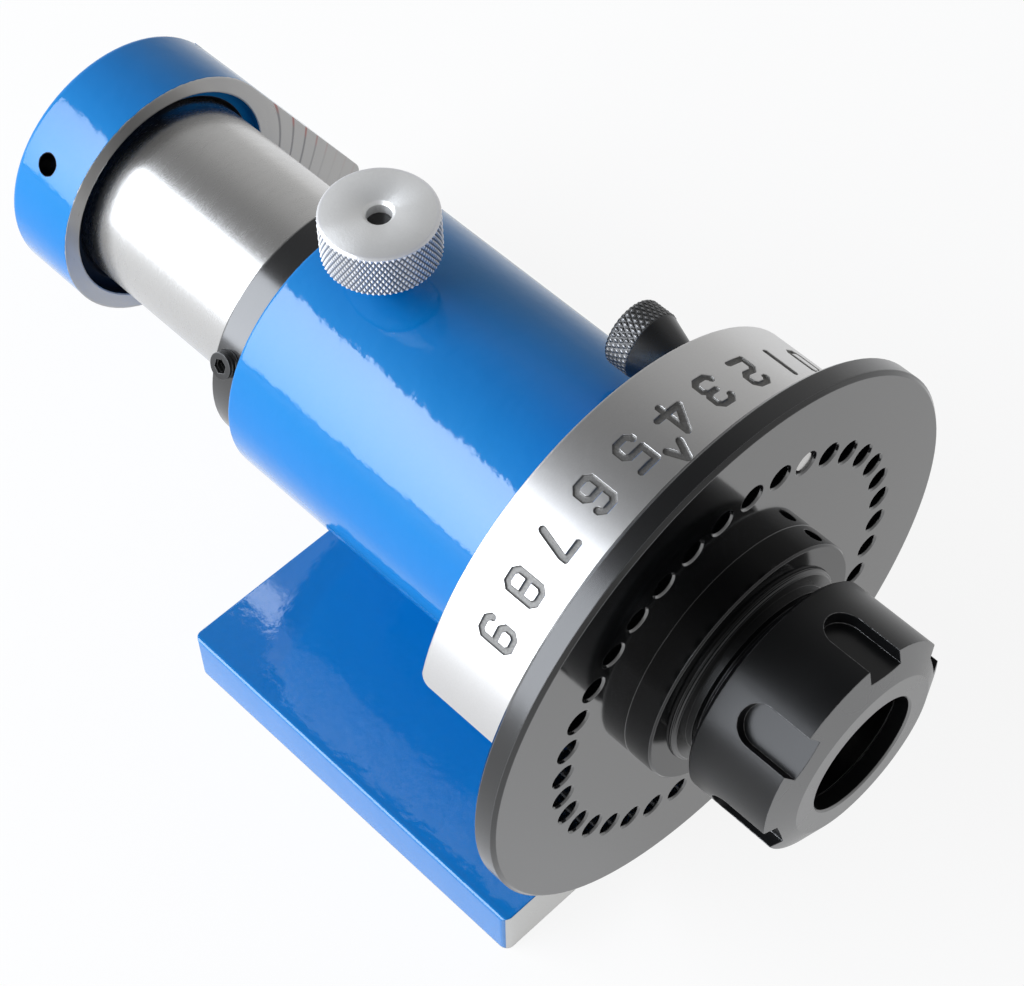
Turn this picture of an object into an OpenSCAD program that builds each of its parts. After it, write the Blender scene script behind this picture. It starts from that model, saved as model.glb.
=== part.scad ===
// Spin index jig: a spindle with a collet nose turns in a cast housing. An index plate with a ring of holes
// and a vernier row of holes in the housing's head set its angle, and a plain pin holds it.
// The spindle runs along Y with its nose toward -Y. The origin is on the underside of the base, below the
// spindle axis and halfway along the base. Angles round the spindle are counted from +X over +Z.

/* [Housing] */
// Height of the spindle axis above the underside of the base
centre_height = 70; // [66.5:0.5:90]
// Length of the base plate along the spindle
base_length = 100; // [80:1:140]
// Distance from the spindle axis to the free edge of the base plate
base_reach = 54.5; // [45:0.5:80]
// Thickness of the base plate
base_thickness = 13.5; // [8:0.5:16]
// Distance from the spindle axis to the machined side face
side_reach = 54; // [48:0.5:70]
// Diameter of the barrel round the spindle
barrel_od = 68.3; // [58:0.1:76]
// Length of the barrel that stands out behind the base plate
barrel_overhang = 2.6; // [0:0.1:10]
// Diameter of the machined number rim on the head
head_od = 109; // [104:0.5:116]
// Thickness of the head along the spindle
head_thickness = 24.7; // [16:0.1:30]
// Height of the head's underside above the spindle axis, on the open side
head_underside = 12.5; // [4:0.5:20]
// Radius of the head's lower rear corner, on the open side
head_corner_r = 2.5; // [0.5:0.1:5]
// How far the base's front end lies behind the head's front face
base_setback = 2.2; // [0.5:0.1:6]
// Angle of the sloped shoulder that runs down from the barrel to the side face
shoulder_angle = 31.5; // [26:0.5:36]

/* [Rear ring] */
// Outer diameter of the ring round the spindle's tail
ring_od = 60.4; // [57:0.1:66]
// Diameter of the painted recess in the ring's front
ring_recess_d = 52.8; // [50:0.1:54]
// Depth of that recess
ring_recess_depth = 2.2; // [1:0.1:4]
// Chamfer at the mouth of the ring's bore
ring_bore_chamfer = 0.9; // [0.3:0.1:1.2]
// Thickness of the ring along the spindle
ring_thickness = 19.5; // [12:0.5:30]
// Length of the open window between barrel and ring
window_length = 58.6; // [30:0.1:90]
// Width of the arm that carries the ring
arm_width = 41; // [30:1:47]
// Diameter of the tapped hole in the ring
ring_tap_d = 5; // [3:0.1:7]
// Angle of the tapped hole round the spindle
ring_tap_angle = 140; // [100:1:150]

/* [Spindle] */
// Ground outer diameter of the spindle
spindle_od = 46.5; // [44:0.1:47.4]
// Diameter of the bore through the spindle
spindle_bore = 26; // [16:0.5:28]
// How far the spindle's tail stays inside the ring's rear face
tail_setback = 1; // [0.5:0.5:10]
// Mouth diameter of the collet taper
taper_mouth = 33; // [30:0.5:35]
// Half angle of the collet taper
taper_angle = 8; // [6:0.5:15]
// Outer diameter of the thread on the nose
nose_thread_d = 40; // [38:0.5:42]
// Length of the thread on the nose
nose_thread_length = 13; // [10:0.5:16]
// Length of the full-size collar between hub and thread
nose_land = 1.4; // [0.5:0.1:2]

/* [Index plate] */
// Outer diameter of the index plate
plate_od = 128; // [116:1:132]
// Thickness of the index plate
plate_thickness = 5.6; // [4:0.1:9]
// Number of index holes
hole_count = 36; // [12:1:36]
// Place of the circle of index holes, as a share of the way from barrel to number rim
circle_share = 0.56; // [0.5:0.01:0.6]
// Diameter of an index hole
hole_d = 5.1; // [5.1:0.1:6]
// Chamfer at the front of an index hole
hole_chamfer = 0.4; // [0.1:0.1:0.8]
// Diameter of the hub on the index plate
hub_od = 57; // [54:0.5:64]
// Length of the hub
hub_length = 6.6; // [6:0.1:9]
// Diameter of the hub's set screw
hub_screw_d = 4; // [3:0.5:4]
// Depth of the hub's set screw below the hub's surface
hub_screw_sink = 1.2; // [0:0.1:2]
// Angle of the hub's set screw round the spindle
hub_screw_angle = 46; // [0:1:90]

/* [Vernier holes] */
// Number of vernier holes in the head
vernier_count = 10; // [5:1:11]
// Angle between two vernier holes
vernier_step_angle = 11; // [9:0.5:11.5]
// Angle of the middle of the vernier row
vernier_angle = 92.7; // [85:0.1:95]
// Number of the vernier hole that holds the pin, counted from 0
pinned_hole = 2; // [0:1:4]

/* [Index pin] */
// Diameter of the pin
pin_d = 5; // [4:0.1:5]
// Diameter of the pin's knurled head
pin_head_d = 15; // [12:0.5:18]
// Length of the knurled head
pin_head_length = 6; // [4:0.5:10]
// Length of the cone between head and shoulder
pin_cone_length = 9.3; // [5:0.1:14]
// Diameter of the pin's shoulder
pin_shoulder_d = 8; // [7:0.5:10]
// How far the pin's tip stays behind the front of the index plate
pin_tip_recess = 0.6; // [0:0.1:2]

/* [Lock screw] */
// Diameter of the lock knob
knob_d = 25; // [20:0.5:30]
// Height of the lock knob
knob_height = 10.7; // [8:0.1:14]
// Distance from the barrel's top to the underside of the knob
knob_gap = 6.3; // [2:0.1:12]
// Distance from the knob's centre to the barrel's rear end
knob_setback = 14.4; // [13:0.1:20]
// Diameter of the lock stud
stud_d = 8; // [6:0.5:8]
// Depth of the stud's end below the knob's top
stud_sink = 3; // [1:0.1:5]
// Diameter of the countersunk hole in the knob
knob_hole_d = 6; // [4:0.5:6]
// Length of the brass plug
plug_length = 4; // [3:0.5:5]
// Gap between plug and spindle when the lock is slack
plug_gap = 0.6; // [0.5:0.1:1]

/* [Stop collar] */
// Outer diameter of the stop collar
collar_od = 62.5; // [58:0.5:68]
// Width of the stop collar
collar_width = 8.5; // [8:0.5:14]
// Diameter of the collar's set screw
collar_screw_d = 6; // [4:0.5:6]
// How far the set screw stands out of the collar
collar_screw_stand = 2; // [0:0.1:4]
// Angle of the collar's set screw round the spindle
collar_screw_angle = 156.6; // [100:0.1:170]

/* [Collet nut] */
// Outer diameter of the collet nut
nut_od = 50; // [48:0.5:54]
// Length of the collet nut
nut_length = 22.8; // [21:0.1:26]
// Gap between hub and nut as shown
nut_gap = 6.2; // [5.5:0.1:7]
// Opening in the front of the nut
nut_opening = 27.3; // [22:0.1:28]
// Diameter of the nut's flat front face
nut_face_d = 38; // [34:0.5:42]
// Length of the cone at the nut's front
nut_cone_length = 2.7; // [1:0.1:4]
// Length of the thread in the nut
nut_thread_length = 12.7; // [10:0.1:13]
// Number of spanner slots
slot_count = 6; // [3:1:8]
// Width of a spanner slot
slot_width = 9; // [6:0.5:10]
// Length of a spanner slot
slot_length = 16.5; // [10:0.5:18]
// Depth of a spanner slot
slot_depth = 3; // [1.5:0.1:3.5]
// Angle of the first spanner slot
slot_angle = 76; // [0:1:90]

/* [Fits] */
// Radial clearance of the spindle in the barrel
spindle_clearance = 0.03; // [0.02:0.01:0.08]
// Radial clearance of the pin in its holes
pin_clearance = 0.05; // [0.02:0.01:0.1]
// End play between faces that slide past each other
end_play = 0.15; // [0.1:0.05:0.3]
// Radial clearance of a collar, hub or screw on what it is fixed to
seat_clearance = 0.02; // [0.01:0.01:0.05]
// Radial clearance of a moving thread
thread_clearance = 0.1; // [0.05:0.05:0.2]
// Gap round the loose extractor ring
loose_gap = 0.3; // [0.2:0.05:0.5]

/* [Edges] */
// Edge break on turned steel parts
edge_break = 0.8; // [0.3:0.1:1.2]
// Edge break on the casting
cast_break = 1; // [0.4:0.1:1.5]
// Rounding of the ring's rear edge
ring_round = 2; // [0.5:0.1:3]
// Fillet where walls of the casting meet
cast_fillet = 2.5; // [0.5:0.1:4]

/* [Hidden] */
$fn = 96;
// How far a cut runs past the face that it opens
eps = 0.5;
// Overlap of two cuts that meet
lap = 0.01;

// Stations along the spindle, from the nose to the tail
base_front = -base_length / 2;
base_rear = base_length / 2;
head_front = base_front - base_setback;
head_rear = head_front + head_thickness;
plate_rear = head_front - end_play;
plate_front = plate_rear - plate_thickness;
hub_front = plate_front - hub_length;
hub_mid = (plate_front + hub_front) / 2;
land_front = hub_front - nose_land;
nose_front = land_front - nose_thread_length;
nut_rear = hub_front - nut_gap;
nut_front = nut_rear - nut_length;
barrel_rear = base_rear + barrel_overhang;
collar_front = barrel_rear + end_play;
collar_rear = collar_front + collar_width;
collar_mid = (collar_front + collar_rear) / 2;
ring_front = barrel_rear + window_length;
ring_rear = ring_front + ring_thickness;
recess_end = ring_front + ring_recess_depth;
ring_bore_mid = (recess_end + ring_rear) / 2;
tail_end = ring_rear - tail_setback;

// Radii
barrel_r = barrel_od / 2;
head_r = head_od / 2;
ring_r = ring_od / 2;
spindle_r = spindle_od / 2;
bore_r = spindle_r + spindle_clearance;
nose_r = nose_thread_d / 2;
circle_r = barrel_r + circle_share * (head_r - barrel_r);
plate_r = plate_od / 2;
hub_r = hub_od / 2;
nut_r = nut_od / 2;
collar_r = collar_od / 2;

// The leg under barrel and ring leans in, on its open side, from the barrel's belly to the base
leg_top_x = -8;
leg_foot_x = 3;
leg_top_drop = 25;
leg_top_z = centre_height - leg_top_drop;
// How far the arm behind the base stays inboard of the machined side face, and where its open side runs
arm_setback = 4;
arm_x = side_reach - arm_setback - arm_width;
// Corner radius of the base plate and of the leg's shoulder
base_corner_r = 2;
shoulder_r = 5;

// Angles of the vernier holes and of the pin
vernier_first = vernier_angle - vernier_step_angle * (vernier_count - 1) / 2;
pin_angle = vernier_first + vernier_step_angle * pinned_hole;
// Index pin stations, and how far the shank is held in its head
pin_cone_front = head_rear + end_play;
pin_head_front = pin_cone_front + pin_cone_length;
pin_head_rear = pin_head_front + pin_head_length;
pin_tip = plate_front + pin_tip_recess;
pin_socket_end = pin_head_front + pin_head_length / 2;
// Step at the rim of the pin's head, and break at the shank's ends
pin_head_step = 0.3;
pin_break = 0.4;

// Lock screw stations
lock_y = barrel_rear - knob_setback;
knob_bottom = centre_height + barrel_r + knob_gap;
knob_top = knob_bottom + knob_height;
plug_bottom = centre_height + spindle_r + plug_gap;
plug_top = plug_bottom + plug_length;
stud_top = knob_top - stud_sink;
// Depth of the countersink in the knob
knob_sink = 1;

// Gap between a set screw's tip and the spindle, and its hexagon socket as shares of its diameter
screw_tip_gap = 0.05;
socket_width = 0.58;
socket_depth = 0.5;

// Inside of the nut: thread, lip that catches the extractor ring, groove and front opening
groove_step = 0.7;
lip_depth = 1;
lip_width = 1.2;
front_wall = 3.7;
nut_thread_end = nut_rear - nut_thread_length;
nut_lip_end = nut_thread_end - lip_width;
nut_groove_end = nut_front + front_wall;
nut_groove_r = nose_r - groove_step;
nut_lip_r = nut_groove_r - lip_depth;
// The extractor ring's bore tapers from its rear to its front
extractor_wall = 2.6;
extractor_lip = 0.4;
extractor_rear_r = nut_lip_r - extractor_wall;
extractor_front_r = nut_opening / 2 + extractor_lip;

// A cylinder along Y from y0 to y1, about the spindle axis
module bar(r, y0, y1) {
    translate([0, y0, centre_height]) rotate([-90, 0, 0]) cylinder(r = r, h = y1 - y0);
}

// A cone along Y, with radius r0 at y0 and r1 at y1
module taper(r0, r1, y0, y1) {
    translate([0, y0, centre_height]) rotate([-90, 0, 0]) cylinder(r1 = r0, r2 = r1, h = y1 - y0);
}

// A solid turned about the spindle axis, from points [radius, y]
module turned(points) {
    translate([0, 0, centre_height]) rotate([-90, 0, 0]) rotate_extrude() polygon(points);
}

// Moves what is centred on the spindle axis out by radius at an angle
module off_axis(radius, angle) {
    translate([radius * cos(angle), 0, radius * sin(angle)]) children();
}

// Turns what is drawn along Z so that it points away from the spindle axis, at station y
module outward(y, angle) {
    translate([0, y, centre_height]) rotate([0, 90 - angle, 0]) children();
}

// A radial cylinder from r0 to r1 off the spindle axis
module radial(r, r0, r1, y, angle) {
    outward(y, angle) translate([0, 0, r0]) cylinder(r = r, h = r1 - r0);
}

// An outline in X and Z, drawn along Y from y0 to y1
module along_y(y0, y1) {
    translate([0, y1, 0]) rotate([90, 0, 0]) linear_extrude(height = y1 - y0) children();
}

// Points of an arc about [x, z]
function arc(x, z, r, from, to, steps = 8) =
    [for (i = [0 : steps]) let (a = from + (to - from) * i / steps) [x + r * cos(a), z + r * sin(a)]];

// Outline of the leg below a cylinder of radius r, with a sloped and rounded shoulder to the side face, and
// with the foot of its open side at foot_x
module leg_outline(r, foot_x) {
    // The slope touches the cylinder and meets the side face at corner_z
    corner_z = centre_height + (r - side_reach * cos(shoulder_angle)) / sin(shoulder_angle);
    inset = shoulder_r * tan((90 - shoulder_angle) / 2);
    polygon(concat(
        [[0, centre_height], [r * cos(shoulder_angle), centre_height + r * sin(shoulder_angle)]],
        arc(side_reach - shoulder_r, corner_z - inset, shoulder_r, shoulder_angle, 0),
        [[side_reach, 0], [foot_x, 0], [foot_x, base_thickness], [leg_top_x, leg_top_z],
            [leg_top_x, centre_height]]));
}

// The fillet between the base plate and the leg's leaning open side, sunk a little into both
module foot_fillet() {
    lean = atan2(leg_foot_x - leg_top_x, leg_top_z - base_thickness);
    sunk = 0.05;
    x = leg_foot_x - cast_fillet * tan(45 + lean / 2) + sunk;
    polygon(concat([[leg_foot_x + eps, base_thickness - eps], [x, base_thickness - eps]],
        arc(x, base_thickness + cast_fillet - sunk, cast_fillet, -90, lean)));
}

// The base plate, with its upper free edge rounded and its free corners rounded in plan
module base_plate() {
    width = base_reach + side_reach;
    intersection() {
        along_y(base_front, base_rear) polygon(concat(
            [[side_reach, base_thickness], [side_reach, 0], [-base_reach, 0]],
            arc(-base_reach + cast_break, base_thickness - cast_break, cast_break, 180, 90)));
        union() {
            translate([-base_reach, base_front + base_corner_r, -eps])
                cube([width, base_length - 2 * base_corner_r, base_thickness + 2 * eps]);
            translate([-base_reach + base_corner_r, base_front - eps, -eps])
                cube([width, base_length + 2 * eps, base_thickness + 2 * eps]);
            for (y = [base_front + base_corner_r, base_rear - base_corner_r])
                translate([-base_reach + base_corner_r, y, -eps])
                    cylinder(r = base_corner_r, h = base_thickness + 2 * eps);
        }
    }
}

// The head: a disc cut off level above the axis on the open side, and carried down to the base on the other
module head() {
    level = centre_height + head_underside;
    barrel_x = sqrt(pow(barrel_r, 2) - pow(head_underside, 2));
    difference() {
        along_y(head_front, head_rear) {
            intersection() {
                translate([0, centre_height]) circle(r = head_r);
                union() {
                    translate([-head_r, level]) square([head_r, head_r]);
                    translate([leg_top_x, centre_height]) square([side_reach - leg_top_x, head_r]);
                }
            }
            polygon([[leg_foot_x, 0], [side_reach, 0], [side_reach, centre_height + eps],
                [leg_top_x, centre_height + eps], [leg_top_x, leg_top_z], [leg_foot_x, base_thickness]]);
        }
        // Rounded lower rear corner on the open side
        translate([-head_r - eps, head_rear - head_corner_r, level + head_corner_r]) rotate([0, 90, 0])
            difference() {
                cube([head_corner_r + eps, head_corner_r + eps, head_r + eps - barrel_x]);
                translate([0, 0, -eps]) cylinder(r = head_corner_r + lap, h = head_r);
            }
    }
}

module housing_casting() {
    color([0.02, 0.55, 0.83]) difference() {
        union() {
            base_plate();
            head();
            // Barrel and its leg
            turned(concat([[0, head_front], [barrel_r, head_front]],
                arc(barrel_r - cast_break, barrel_rear - cast_break, cast_break, 0, 90),
                [[0, barrel_rear]]));
            along_y(base_front, barrel_rear) leg_outline(barrel_r, leg_foot_x);
            along_y(base_front, base_rear) foot_fillet();
            // Arm and ring
            translate([arm_x, base_rear - eps, 0])
                cube([arm_width, ring_rear - base_rear + eps, base_thickness]);
            turned(concat([[0, ring_front], [ring_r, ring_front]],
                arc(ring_r - ring_round, ring_rear - ring_round, ring_round, 0, 90), [[0, ring_rear]]));
            along_y(ring_front, ring_rear) leg_outline(ring_r, arm_x);
        }
        bar(bore_r, head_front - eps, barrel_rear + eps);
        taper(bore_r, bore_r + edge_break + lap, barrel_rear - edge_break, barrel_rear + lap);
        // Recess, chamfer and bore of the ring
        bar(ring_recess_d / 2, ring_front - eps, recess_end);
        taper(bore_r + ring_bore_chamfer + lap, bore_r, recess_end - lap, recess_end + ring_bore_chamfer);
        bar(bore_r, ring_front, ring_rear + eps);
        for (i = [0 : vernier_count - 1]) off_axis(circle_r, vernier_first + i * vernier_step_angle)
            bar(pin_d / 2 + pin_clearance, head_front - eps, head_rear + eps);
        // Tapped holes for the lock stud and in the ring
        translate([0, lock_y, centre_height])
            cylinder(r = stud_d / 2 + thread_clearance, h = barrel_r + eps);
        radial(ring_tap_d / 2, bore_r - eps, ring_r + eps, ring_bore_mid, ring_tap_angle);
    }
}

module spindle() {
    socket = (taper_mouth - spindle_bore) / 2 / tan(taper_angle);
    b = edge_break;
    color([0.75, 0.75, 0.76]) difference() {
        turned([[0, tail_end], [spindle_r - b, tail_end], [spindle_r, tail_end - b],
            [spindle_r, land_front + b], [spindle_r - b, land_front], [nose_r, land_front],
            [nose_r, nose_front + b], [nose_r - b, nose_front], [0, nose_front]]);
        bar(spindle_bore / 2, nose_front - eps, tail_end + eps);
        taper(taper_mouth / 2, spindle_bore / 2, nose_front, nose_front + socket);
        taper(spindle_bore / 2, spindle_bore / 2 + b + lap, tail_end - b, tail_end + lap);
    }
}

module index_plate() {
    b = edge_break;
    color([0.16, 0.16, 0.17]) difference() {
        turned([[0, plate_rear], [plate_r - b, plate_rear], [plate_r, plate_rear - b],
            [plate_r, plate_front + b], [plate_r - b, plate_front], [hub_r, plate_front],
            [hub_r, hub_front + b / 2], [hub_r - b / 2, hub_front], [0, hub_front]]);
        bar(spindle_r + seat_clearance, hub_front - eps, plate_rear + eps);
        for (i = [0 : hole_count - 1]) off_axis(circle_r, pin_angle + i * 360 / hole_count) {
            bar(hole_d / 2, plate_front - eps, plate_rear + eps);
            taper(hole_d / 2 + hole_chamfer + lap, hole_d / 2, plate_front - lap,
                plate_front + hole_chamfer);
        }
        radial(hub_screw_d / 2 + seat_clearance, spindle_r - eps, hub_r + eps, hub_mid, hub_screw_angle);
    }
}

// A socket set screw that points at the spindle, with its outer end r1 off the spindle axis
module set_screw(d, r1, y, angle) {
    difference() {
        radial(d / 2, spindle_r + screw_tip_gap, r1, y, angle);
        outward(y, angle) translate([0, 0, r1 - d * socket_depth])
            cylinder(r = d * socket_width / 2, h = d, $fn = 6);
    }
}

module hub_set_screw() {
    color([0.2, 0.2, 0.2]) set_screw(hub_screw_d, hub_r - hub_screw_sink, hub_mid, hub_screw_angle);
}

module stop_collar() {
    b = edge_break;
    color([0.2, 0.2, 0.21]) difference() {
        turned([[0, collar_front], [collar_r - b, collar_front], [collar_r, collar_front + b],
            [collar_r, collar_rear - b], [collar_r - b, collar_rear], [0, collar_rear]]);
        bar(spindle_r + seat_clearance, collar_front - eps, collar_rear + eps);
        radial(collar_screw_d / 2 + seat_clearance, spindle_r - eps, collar_r + eps, collar_mid,
            collar_screw_angle);
    }
}

module stop_collar_set_screw() {
    color([0.15, 0.15, 0.16])
        set_screw(collar_screw_d, collar_r + collar_screw_stand, collar_mid, collar_screw_angle);
}

module collet_nut() {
    b = edge_break;
    color([0.13, 0.13, 0.14]) difference() {
        turned([[0, nut_rear], [nut_r - b, nut_rear], [nut_r, nut_rear - b],
            [nut_r, nut_front + nut_cone_length], [nut_face_d / 2, nut_front], [0, nut_front]]);
        bar(nose_r + thread_clearance, nut_thread_end, nut_rear + eps);
        bar(nut_lip_r, nut_lip_end - lap, nut_thread_end + lap);
        bar(nut_groove_r, nut_groove_end, nut_lip_end);
        bar(nut_opening / 2, nut_front - eps, nut_groove_end + lap);
        taper(nut_opening / 2 + b / 2 + lap, nut_opening / 2, nut_front - lap, nut_front + b / 2);
        for (i = [0 : slot_count - 1]) spanner_slot(slot_angle + i * 360 / slot_count);
    }
}

// The cut of a spanner slot, open at the nut's front, with a round end
module spanner_slot(angle) {
    end_y = nut_front + slot_length - slot_width / 2;
    outward(0, angle) translate([0, 0, nut_r - slot_depth]) {
        translate([-slot_width / 2, nut_front - eps, 0])
            cube([slot_width, end_y - nut_front + eps, slot_depth + eps]);
        translate([0, end_y, 0]) cylinder(r = slot_width / 2, h = slot_depth + eps);
    }
}

module extractor_ring() {
    rear = nut_lip_end - loose_gap;
    front = nut_groove_end + loose_gap;
    color([0.5, 0.5, 0.5]) turned([[nut_groove_r - loose_gap, rear], [nut_groove_r - loose_gap, front],
        [extractor_front_r, front], [extractor_rear_r, rear]]);
}

module index_pin_head() {
    b = edge_break;
    r = pin_head_d / 2;
    color([0.2, 0.2, 0.21]) off_axis(circle_r, pin_angle) difference() {
        turned([[0, pin_cone_front], [pin_shoulder_d / 2, pin_cone_front],
            [r - pin_head_step, pin_head_front], [r, pin_head_front], [r, pin_head_rear - b],
            [r - b, pin_head_rear], [0, pin_head_rear]]);
        bar(pin_d / 2 + seat_clearance, pin_cone_front - eps, pin_socket_end);
    }
}

module index_pin_shank() {
    r = pin_d / 2;
    b = pin_break;
    color([0.8, 0.8, 0.8]) off_axis(circle_r, pin_angle)
        turned([[0, pin_tip], [r - b, pin_tip], [r, pin_tip + b], [r, pin_socket_end], [0, pin_socket_end]]);
}

module lock_knob() {
    r = knob_d / 2;
    b = edge_break;
    color([0.8, 0.8, 0.81]) translate([0, lock_y, 0]) difference() {
        rotate_extrude() polygon([[0, knob_bottom], [r - b, knob_bottom], [r, knob_bottom + b],
            [r, knob_top - b], [r - b, knob_top], [0, knob_top]]);
        translate([0, 0, knob_bottom - eps])
            cylinder(r = stud_d / 2 + seat_clearance, h = stud_top - knob_bottom + eps);
        translate([0, 0, stud_top - lap]) cylinder(r = knob_hole_d / 2, h = stud_sink + eps);
        translate([0, 0, knob_top - knob_sink])
            cylinder(r1 = knob_hole_d / 2, r2 = knob_hole_d / 2 + knob_sink + lap, h = knob_sink + lap);
    }
}

module lock_stud() {
    color([0.5, 0.5, 0.5]) translate([0, lock_y, plug_top])
        cylinder(r = stud_d / 2, h = stud_top - plug_top);
}

module lock_plug() {
    color([0.8, 0.62, 0.25]) translate([0, lock_y, plug_bottom]) cylinder(r = stud_d / 2, h = plug_length);
}

housing_casting();
spindle();
index_plate();
hub_set_screw();
stop_collar();
stop_collar_set_screw();
collet_nut();
extractor_ring();
index_pin_head();
index_pin_shank();
lock_knob();
lock_stud();
lock_plug();
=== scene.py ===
"""Looks of the spin index jig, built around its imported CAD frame. Lengths are in metres."""
import math

import bmesh
import bpy
from mathutils import Matrix, Vector


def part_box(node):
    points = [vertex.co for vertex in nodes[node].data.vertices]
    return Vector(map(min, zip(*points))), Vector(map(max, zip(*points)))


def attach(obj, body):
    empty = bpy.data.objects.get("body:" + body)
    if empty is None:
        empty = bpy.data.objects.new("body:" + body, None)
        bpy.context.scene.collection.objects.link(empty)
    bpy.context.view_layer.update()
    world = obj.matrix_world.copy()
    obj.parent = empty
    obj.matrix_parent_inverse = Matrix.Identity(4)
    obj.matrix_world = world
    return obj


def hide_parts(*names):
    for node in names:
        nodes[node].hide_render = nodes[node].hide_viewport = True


MM = 0.001

# Sizes that no node's box gives
PLAY = 0.15 * MM
RING_WIDTH = 19.5 * MM
PLATE_THICK = 5.6 * MM
LAND_LENGTH = 1.4 * MM
HUB_R = 28.5 * MM
THREAD_R = 20 * MM
TAP_ANGLE = math.radians(140)
TAP_R = 2.62 * MM
TAP_FROM_FRONT = 10.85 * MM

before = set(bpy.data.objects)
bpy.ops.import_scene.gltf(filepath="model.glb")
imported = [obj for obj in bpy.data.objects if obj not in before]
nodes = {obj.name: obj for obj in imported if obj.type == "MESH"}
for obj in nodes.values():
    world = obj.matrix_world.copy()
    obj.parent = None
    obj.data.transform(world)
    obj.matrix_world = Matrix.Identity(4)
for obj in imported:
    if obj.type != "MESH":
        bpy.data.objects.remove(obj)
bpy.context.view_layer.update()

# Stations and radii from the nodes' boxes
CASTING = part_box("housing_casting")
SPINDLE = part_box("spindle")
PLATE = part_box("index_plate")
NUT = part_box("collet_nut")
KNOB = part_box("lock_knob")
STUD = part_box("lock_stud")
PIN_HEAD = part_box("index_pin_head")
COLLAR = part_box("stop_collar")
AXIS_Z = (SPINDLE[0].z + SPINDLE[1].z) / 2
HEAD_FRONT = CASTING[0].y
SIDE_X = CASTING[1].x
RING_REAR = CASTING[1].y
RING_FRONT = RING_REAR - RING_WIDTH
BARREL_REAR = COLLAR[0].y - PLAY
HEAD_REAR = PIN_HEAD[0].y - PLAY
RIM_R = CASTING[1].z - AXIS_Z
SPINDLE_R = (SPINDLE[1].x - SPINDLE[0].x) / 2
PLATE_R = (PLATE[1].x - PLATE[0].x) / 2
PLATE_FRONT = PLATE[1].y - PLATE_THICK
HUB_FRONT = PLATE[0].y
LAND_FRONT = HUB_FRONT - LAND_LENGTH
LOCK_Y = (KNOB[0].y + KNOB[1].y) / 2
PIN_X = (PIN_HEAD[0].x + PIN_HEAD[1].x) / 2
PIN_Z = (PIN_HEAD[0].z + PIN_HEAD[1].z) / 2


# Shader helpers

def put(tree, socket, value):
    """Sets a socket to a value, or links it to another socket."""
    if isinstance(value, bpy.types.NodeSocket):
        tree.links.new(value, socket)
    else:
        socket.default_value = value


def add(tree, kind, inputs=None, **settings):
    """Adds a shader node, with settings by attribute and inputs by name or number."""
    node = tree.nodes.new("ShaderNode" + kind)
    for key, value in settings.items():
        setattr(node, key, value)
    for key, value in (inputs or {}).items():
        put(tree, node.inputs[key], value)
    return node


def calc(tree, operation, a, b=0.0, c=0.0):
    """A math node on two or three values."""
    return add(tree, "Math", {0: a, 1: b, 2: c}, operation=operation).outputs[0]


def plus(tree, a, b):
    return calc(tree, "ADD", a, b)


def minus(tree, a, b):
    return calc(tree, "SUBTRACT", a, b)


def times(tree, a, b):
    return calc(tree, "MULTIPLY", a, b)


def larger(tree, a, b):
    return calc(tree, "MAXIMUM", a, b)


def spread(tree, value, size, base):
    """value times size, plus base."""
    return calc(tree, "MULTIPLY_ADD", value, size, base)


def above(tree, value, limit, soft=0.05 * MM):
    """1 where value is over limit, 0 where it is under, with a soft step between."""
    inputs = {"Value": value, "From Min": limit - soft, "From Max": limit + soft}
    return add(tree, "MapRange", inputs).outputs[0]


def below(tree, value, limit, soft=0.05 * MM):
    """1 where value is under limit, 0 where it is over."""
    return minus(tree, 1.0, above(tree, value, limit, soft))


def both(tree, *masks):
    """1 where all masks are 1."""
    result = masks[0]
    for mask in masks[1:]:
        result = times(tree, result, mask)
    return result


def span(tree, value, low, high, to_low=0.0, to_high=1.0):
    """value from low to high, stretched to run from to_low to to_high and held there."""
    inputs = {"Value": value, "From Min": low, "From Max": high,
              "To Min": to_low, "To Max": to_high}
    return add(tree, "MapRange", inputs).outputs[0]


def blend(tree, share, a, b):
    """Colour, vector or value a where share is 0, and b where it is 1."""
    kind = "RGBA" if isinstance(a, (tuple, list)) or getattr(a, "type", "") == "RGBA" else "FLOAT"
    if getattr(a, "type", "") == "VECTOR":
        kind = "VECTOR"
    first, second, out = {"RGBA": (6, 7, 2), "VECTOR": (4, 5, 1), "FLOAT": (2, 3, 0)}[kind]
    node = add(tree, "Mix", data_type=kind)
    put(tree, node.inputs[0], share)
    put(tree, node.inputs[first], a)
    put(tree, node.inputs[second], b)
    return node.outputs[out]


def noise(tree, vector, scale, detail=3.0, rough=0.5):
    """Fractal noise, about 0 to 1."""
    inputs = {"Vector": vector, "Scale": scale, "Detail": detail, "Roughness": rough}
    return add(tree, "TexNoise", inputs).outputs[0]


def place(tree):
    """The point in the part's frame, as a vector and its x, y and z."""
    vector = add(tree, "TexCoord").outputs["Object"]
    parts = add(tree, "SeparateXYZ", {0: vector}).outputs
    return vector, parts[0], parts[1], parts[2]


def hypotenuse(tree, a, b):
    return calc(tree, "SQRT", plus(tree, times(tree, a, a), times(tree, b, b)))


def round_axis(tree, a, b, along):
    """Radius about an axis, and a vector for textures of turned work: angle, place along the
    axis and radius."""
    radius = hypotenuse(tree, a, b)
    angle = calc(tree, "ARCTAN2", b, a)
    return radius, add(tree, "CombineXYZ", {0: angle, 1: along, 2: radius}).outputs[0]


def scaled(tree, vector, factors):
    """A vector with each part times its factor."""
    return add(tree, "VectorMath", {0: vector, 1: factors}, operation="MULTIPLY").outputs[0]


def streaks(tree, turned, around, along, outward, detail=3, rough=0.6):
    """Noise drawn out into streaks, by its scale round, along and away from the axis."""
    return noise(tree, scaled(tree, turned, (around, along, outward)), 1.0, detail, rough)


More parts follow.
